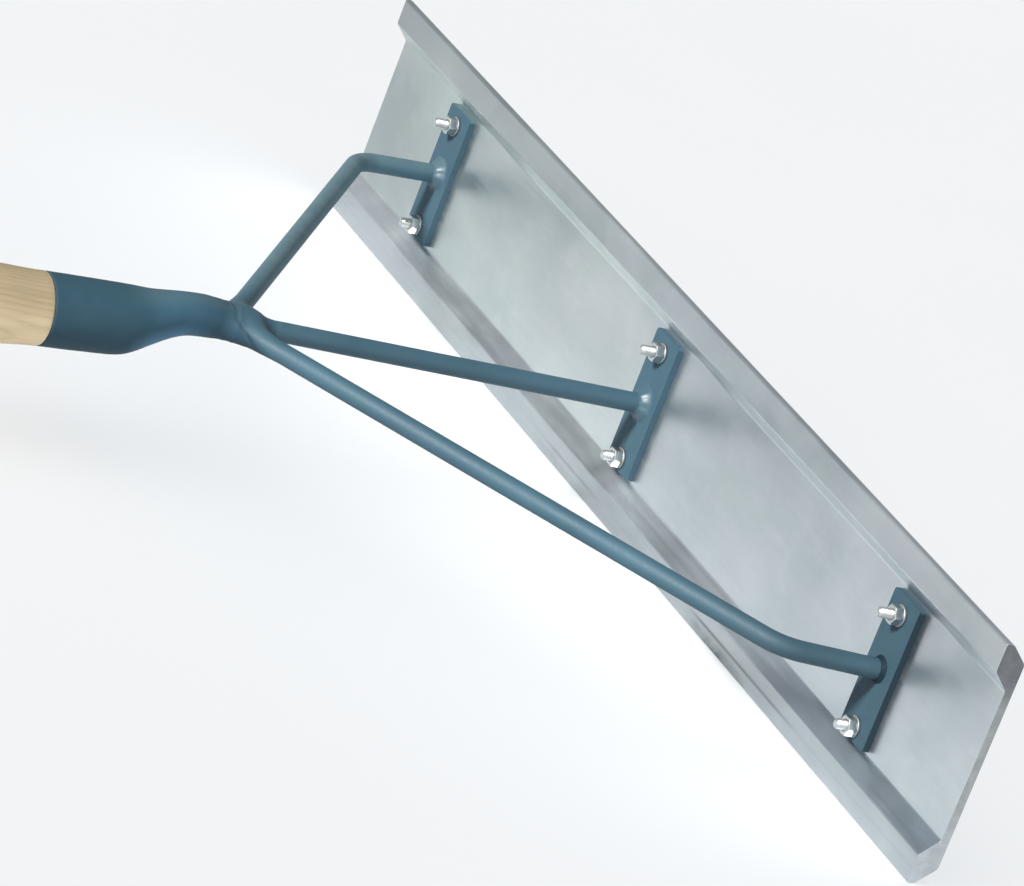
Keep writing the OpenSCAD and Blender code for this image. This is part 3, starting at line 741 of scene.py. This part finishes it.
# ---------------------------------------------------------------- handle
def make_handle():
    ease = lambda t: (1 - math.cos(math.pi * t)) / 2
    taper = HANDLE_L - BUTT_R - GRIP_L
    bore_r = MOUTH_R - SOCKET_WALL
    prof = [(0.0, -BORE_L + 0.5), (BORE_END_R - 0.6, -BORE_L + 0.5), (BORE_END_R - 0.1, -BORE_L + 1.0), (bore_r - 0.1, -0.3), (bore_r - 0.1, 0.08),
            (MOUTH_R - 1.1, 0.08), (MOUTH_R - 0.55, 0.22), (MOUTH_R - 0.12, 0.75), (MOUTH_R, 1.4)]
    prof += [(MOUTH_R + (SWELL_R - MOUTH_R) * ease(i / 10), 1.4 + i * 3.53) for i in range(1, 11)]
    prof += [(SWELL_R, 48.0), (SWELL_R, 60.0)]
    prof += [(SWELL_R + (GRIP_R - SWELL_R) * ease(i / 30), 60 + (taper - 60) * i / 30) for i in range(1, 31)]
    prof += [(GRIP_R, taper + (GRIP_L) * i / 24) for i in range(1, 24)]
    prof += [(GRIP_R - BUTT_R + BUTT_R * math.cos(a), HANDLE_L - BUTT_R + BUTT_R * math.sin(a)) for a in np.linspace(0, math.pi / 2, 11)]
    prof += [(4.0, HANDLE_L), (0.0, HANDLE_L)]
    n = 72
    u = circle(n)
    rings = []
    for r, s in prof[1:-1]:
        c = np.array([0.0, MOUTH[0] + AXIS_BACK[0] * s, MOUTH[1] + AXIS_BACK[1] * s])
        rings.append(c + r * u[:, :1] * np.array([1.0, 0, 0]) + r * u[:, 1:] * np.array([0, AXIS_UP[0], AXIS_UP[1]]))
    return link("handle_wood", *loft(rings), 40, [WOOD])


keep(make_handle(), "wood", "handle")


# ---------------------------------------------------------------- fasteners
def place(x, zc, q):
    """Local points about a bolt's axis, its z running from the tip to the head."""
    q = np.asarray(q, float)
    return np.stack([x + q[:, 0], q[:, 2], zc - q[:, 1]], 1)


def lathe(prof, n):
    u = circle(n)
    return [np.concatenate([r * u, np.full((n, 1), z)], 1) for r, z in prof]


def bolt_mesh(turn, out):
    n, pitch = 40, 1.0
    tip = -BRACKET_T - out
    a = np.arange(n) * 2 * math.pi / n
    rings = [np.stack([1.95 * np.cos(a), 1.95 * np.sin(a), np.full(n, tip)], 1)]
    for z in np.arange(tip + 0.05, -8.0, 0.1):
        ph = ((z - tip) / pitch - a / (2 * math.pi) + turn) % 1.0
        tri = 1 - np.abs(2 * ph - 1)
        r = 2.54 + 0.43 * np.clip((tri - 0.12) / 0.70, 0, 1)
        r = np.minimum(r, 2.0 + (z - tip) * 0.95)
        rings.append(np.stack([r * np.cos(a), r * np.sin(a), np.full(n, z)], 1))
    rings += lathe([(2.95, -7.9), (2.95, WEB_T - 0.3), (3.2, WEB_T + 0.02), (HEAD_R - 0.5, WEB_T + 0.02), (HEAD_R - 0.12, WEB_T + 0.18), (HEAD_R, WEB_T + 0.5), (HEAD_R - 0.02, WEB_T + 0.95)], n)
    rise = HEAD_H - 1.0
    dome = (HEAD_R ** 2 + rise ** 2) / (2 * rise)
    for i in range(1, 9):
        b = math.asin((HEAD_R - 0.12) / dome) * (1 - i / 9)
        rings += lathe([(dome * math.sin(b), WEB_T + HEAD_H - dome + dome * math.cos(b))], n)
    return loft(rings)


def nut_mesh():
    n, c, rc = 96, NUT_AF / 2, NUT_AF / 2 - 0.2
    th = np.arange(n) * 2 * math.pi / n
    rel = np.abs((th + math.pi / 6) % (math.pi / 3) - math.pi / 6)
    hexr = np.minimum(c / np.cos(math.pi / 6 - rel), 5.68)
    zo, zi = -BRACKET_T - WASHER_T - NUT_H, -BRACKET_T - WASHER_T
    drop = (hexr - rc) * math.tan(math.radians(30))
    full = np.ones(n)
    prof = [(3.03 * full, zo + 0.45 * full), (3.45 * full, zo * full), (rc * full, zo * full), (hexr, zo + drop),
            (hexr, zi - drop), (rc * full, zi * full), (3.45 * full, zi * full), (3.03 * full, zi - 0.45 * full)]
    rings = [np.stack([r * np.cos(th), r * np.sin(th), z], 1) for r, z in prof]
    return loft(rings, closed=True)


def washer_mesh():
    ro, ri, z0, z1, e = WASHER_R, BOLT_R + 0.2, -BRACKET_T - WASHER_T, -BRACKET_T, 0.25
    prof = [(ri, z0 + e), (ri + e, z0), (ro - e, z0), (ro - 0.08, z0 + 0.08), (ro, z0 + e), (ro, z1 - 0.1), (ro - 0.1, z1), (ri + 0.1, z1), (ri, z1 - 0.1)]
    return loft(lathe(prof, 64), closed=True)


def pair(name, x, make, angle, turns, mat):
    parts = []
    for h, out, turn in zip((-BOLT_LOW, BOLT_UP), (BOLT_OUT_LOW, BOLT_OUT), turns):
        v, f = make(turn, out)
        parts.append((place(x, MID_Z + h, v), f))
    return link(name, *merge(parts), angle, [mat])


SPIN = {"left": (0.1, 0.55), "centre": (0.8, 0.3), "right": (0.45, 0.95)}
for side, x in (("left", -BRACKET_X), ("centre", 0.0), ("right", BRACKET_X)):
    keep(pair(f"bolt_pair_{side}", x, bolt_mesh, 38, SPIN[side], ZINC), "zinc", f"bolts_{side}")
    keep(pair(f"nut_pair_{side}", x, lambda turn, out: nut_mesh(), 28, SPIN[side], ZINC), "zinc", f"nuts_{side}")
    keep(pair(f"washer_pair_{side}", x, lambda turn, out: washer_mesh(), 50, SPIN[side], ZINC_DULL), "zinc", f"washers_{side}")


# ---------------------------------------------------------------- welds
def surface(field, origin, step):
    """Closed quad surface where a sampled field changes sign, negative inside."""
    n = np.array(field.shape)
    off = [(i, j, k) for i in (0, 1) for j in (0, 1) for k in (0, 1)]
    c = {o: field[o[0]:n[0] - 1 + o[0], o[1]:n[1] - 1 + o[1], o[2]:n[2] - 1 + o[2]] for o in off}
    count = sum((v < 0).astype(np.int32) for v in c.values())
    mixed = (count > 0) & (count < 8)
    ids = np.full(mixed.shape, -1)
    ids[mixed] = np.arange(mixed.sum())
    pos, hits = np.zeros((mixed.sum(), 3)), np.zeros(mixed.sum())
    for o in off:
        for ax in range(3):
            if o[ax]:
                continue
            q = tuple(v + (i == ax) for i, v in enumerate(o))
            fa, fb = c[o][mixed], c[q][mixed]
            cut = (fa < 0) != (fb < 0)
            t = np.where(cut, fa / np.where(cut, fa - fb, 1.0), 0.0)
            at = np.tile(np.array(o, float), (len(t), 1))
            at[:, ax] += t
            pos += at * cut[:, None]
            hits += cut
    verts = (np.argwhere(mixed) + pos / hits[:, None]) * step + np.asarray(origin, float)
    faces = []
    for ax in range(3):
        u, v = [i for i in range(3) if i != ax]
        lo, hi = [slice(None)] * 3, [slice(None)] * 3
        lo[ax], hi[ax] = slice(0, -1), slice(1, None)
        cells = np.argwhere((field[tuple(lo)] < 0) != (field[tuple(hi)] < 0))
        cells = cells[(cells[:, u] > 0) & (cells[:, v] > 0) & (cells[:, u] < n[u] - 1) & (cells[:, v] < n[v] - 1)]
        quad = []
        for du, dv in ((1, 1), (0, 1), (0, 0), (1, 0)):
            q = cells.copy()
            q[:, u] -= du
            q[:, v] -= dv
            quad.append(ids[q[:, 0], q[:, 1], q[:, 2]])
        faces += [tuple(int(i) for i in f) for f in np.stack(quad, 1)]
    return verts, faces


def smin(a, b, k):
    h = np.clip(1 - np.abs(a - b) / k, 0, 1)
    return np.minimum(a, b) - k * h * h / 4


def smax(a, b, k):
    return -smin(-a, -b, k)


def grid(low, high, step):
    ax = [np.arange(l, h + step, step) for l, h in zip(low, high)]
    return np.meshgrid(*ax, indexing="ij")


SUNK = 0.05                                               # the weld's hidden skin lies this far inside its parts


def bracket_weld(name, x0, lean_in, seed, size, mat):
    """Fillet weld around a bar's end on its bracket; size scales its legs."""
    step = 0.42 if size == 1 else 0.30
    low = (x0 - 15, -BRACKET_T - 10, MID_Z - 15)
    x, y, z = grid(low, (x0 + 15, -BRACKET_T + 1.6, MID_Z + 15), step)
    up = -BRACKET_T - y                                   # height above the bracket's face
    dx, dz = x - x0 + lean_in * up, z - MID_Z
    rho, phi = np.hypot(dx, dz), np.arctan2(dz, dx)
    bar, plate = rho - ROD_R, up
    leg = size * (5.0 + 0.45 * np.sin(2 * phi + seed) + 0.25 * np.sin(5 * phi + 2.3 * seed) + 0.15 * np.sin(9 * phi + seed))
    # ripples of the bead, each one trailing behind its middle
    ph = 24 * phi / (2 * math.pi) + 0.10 * np.abs(bar - plate) + 0.35 * np.sin(3 * phi + seed)
    ripple = 0.05 * np.abs(np.sin(math.pi * ph)) ** 0.8
    bead = (bar + plate - leg) * 0.7071 - ripple + 0.045 * (bar - plate) ** 2 / leg
    f = smin(np.minimum(bar, plate) + SUNK, bead, 1.5 * size)
    f = np.maximum(np.maximum(f, rho - ROD_R - 8.0), np.maximum(up - 8.4, -up - 0.9))
    ob = link(name, *surface(f, low, step), 0, [mat])
    return keep(ob, "blue_paint")


# the right bracket's small weld takes the near-black coat of painted shade
for side, x, seed, size, mat in (("left", -BRACKET_X, 1.3, 1.0, PAINT_WELD), ("centre", 0.0, 4.1, 1.0, PAINT_WELD),
                                 ("right", BRACKET_X, 7.7, 0.36, PAINT_WELD_SHADE)):
    lean_in = 0.0 if side == "centre" else math.copysign(BEND_IN / (BEND_Y - BRACKET_T), x)
    bracket_weld(f"weld_{side}", x, lean_in, seed, size, mat)


def hub_weld():
    """Weld metal that fills the corners between both braces and the neck."""
    step = 0.6
    low = (-44, -292, MID_Z - 15)
    x, y, z = grid(low, (44, -208, MID_Z + 15), step)
    h = z - MID_Z
    # the bent bar: arc about (0, BEND_C), then the straight arms
    ax, ay = np.abs(x), y
    ux, uy = _arm
    along = (ax - APEX[0]) * ux + (ay - APEX[1]) * uy
    tangent = APEX_R / math.tan(HALF_ARM)
    arm = np.abs((ax - APEX[0]) * uy - (ay - APEX[1]) * ux)
    arc = np.abs(np.hypot(ax, ay - BEND_C) - APEX_R)
    bent = np.hypot(np.where(along > tangent, arm, arc), h) - ROD_R
    rod = np.maximum(np.hypot(x, h) - ROD_R, APEX[1] + 8 - y)
    # the neck spreads sideways and flattens towards the bar
    ys = [252, 258, 264, 270, 276, 284, 292, 300]
    wide = np.interp(-y, ys, [14.3, 14.3, 13.0, 12.2, 11.4, 11.6, 11.9, 12.9])
    tall = np.interp(-y, ys, [4.2, 4.7, 6.5, 10.2, 11.1, 11.6, 11.9, 12.9])
    mid = np.interp(-y, ys, [0.0, 0.0, 0.4, 0.45, 0.5, 0.6, 0.1, -1.6])
    neck = (np.hypot(x / wide, (h - mid) / tall) - 1) * np.minimum(wide, tall)
    neck = smax(neck, y + 255.0, 4.0)
    phi = np.arctan2(h, x)
    corner_in = np.clip(1 - np.abs(bent - rod) / 15, 0, 1) ** 2
    corner_out = np.clip(1 - np.abs(bent - neck) / 9.5, 0, 1) ** 2 * np.clip((y + 276) / 6, 0, 1)
    f = smin(bent, rod, 15.0)
    f = smin(f, neck, 9.5) + SUNK
    f = f - corner_in * (0.07 * np.abs(np.sin(11 * phi + 0.16 * y)) ** 0.8 - 0.03)
    f = f - corner_out * (0.07 * np.abs(np.sin(13 * phi + 0.5 * np.sin(2 * phi))) ** 0.8 - 0.03)
    # toe of the weld, a shallow groove where the neck ends on the bar
    toe = np.exp(-((y + 268.2 - 0.95 * np.clip(6 - h, 0, 9)) / 1.2) ** 2) * np.clip(h / 4 + 1.4, 0, 1)
    f = f + (0.16 + 0.26 * np.clip((6 - h) / 6, 0, 1)) * toe
    f = f + 0.08 * np.sin(0.34 * x + 0.21 * y) * np.sin(0.29 * h + 0.26 * y + 1.1) * (corner_in + corner_out)
    f = np.maximum(f, np.maximum(ax - 42, np.maximum(y + 211, -y - 290)))
    ob = link("weld_hub", *surface(f, low, step), 0, [PAINT])
    return keep(ob, "blue_paint")


hub_weld()

# ---------------------------------------------------------------- floor, light, camera
bpy.ops.mesh.primitive_plane_add(size=60)
ground = bpy.context.object
ground.name = "floor"
ground.data.materials.append(floor_material())

world = bpy.data.worlds.new("studio")
bpy.context.scene.world = world
world.use_nodes = True
world.node_tree.nodes["Background"].inputs["Color"].default_value = (0.93, 0.965, 1.0, 1)
world.node_tree.nodes["Background"].inputs["Strength"].default_value = 0.42


def sun(name, toward, strength, angle, color=(1, 1, 1)):
    d = bpy.data.lights.new(name, "SUN")
    d.energy, d.angle, d.color = strength, math.radians(angle), color
    o = bpy.data.objects.new(name, d)
    o.rotation_euler = Vector(toward).to_track_quat("Z", "Y").to_euler()
    bpy.context.scene.collection.objects.link(o)
    return o


def light_group(light, member, state):
    """Lets a light shine on the floor only, or on everything but the floor."""
    group = bpy.data.collections.new(f"{light.name}_reach")
    group.objects.link(member)
    group.collection_objects[0].light_linking.link_state = state
    light.light_linking.receiver_collection = group


light_group(sun("key", (0.20, -1.0, 0.65), 7.9, 9, (1.0, 0.985, 0.96)), ground, "EXCLUDE")
light_group(sun("front", (0.90, -0.30, 0.30), 2.0, 50, (0.97, 0.985, 1.0)), ground, "EXCLUDE")
wash = sun("floor_wash", (-0.05, 0.10, 1.0), 2.0, 90)
light_group(wash, ground, "INCLUDE")
wash.light_linking.blocker_collection = wash.light_linking.receiver_collection

cam = bpy.data.cameras.new("camera")
cam.sensor_fit, cam.sensor_width = "HORIZONTAL", 36.0
cam.lens = 36.0 * 6457.48 / 1024.0
cam.clip_start, cam.clip_end = 0.05, 100
co = bpy.data.objects.new("camera", cam)
right = LIE_R @ np.array([0.37033812, 0.86187722, 0.34643519])
down = LIE_R @ np.array([0.43897651, 0.166293, -0.8829758])
fwd = LIE_R @ np.array([-0.81862647, 0.47907651, -0.31675922])
pos = lie([[2954.66, -1802.80, 1174.52]])[0]
mw = Matrix(((right[0], -down[0], -fwd[0], pos[0]), (right[1], -down[1], -fwd[1], pos[1]), (right[2], -down[2], -fwd[2], pos[2]), (0, 0, 0, 1)))
co.matrix_world = mw
bpy.context.scene.collection.objects.link(co)
bpy.context.scene.camera = co

vs = bpy.context.scene.view_settings
vs.view_transform, vs.look, vs.exposure, vs.gamma = "Standard", "None", 0.0, 1.0
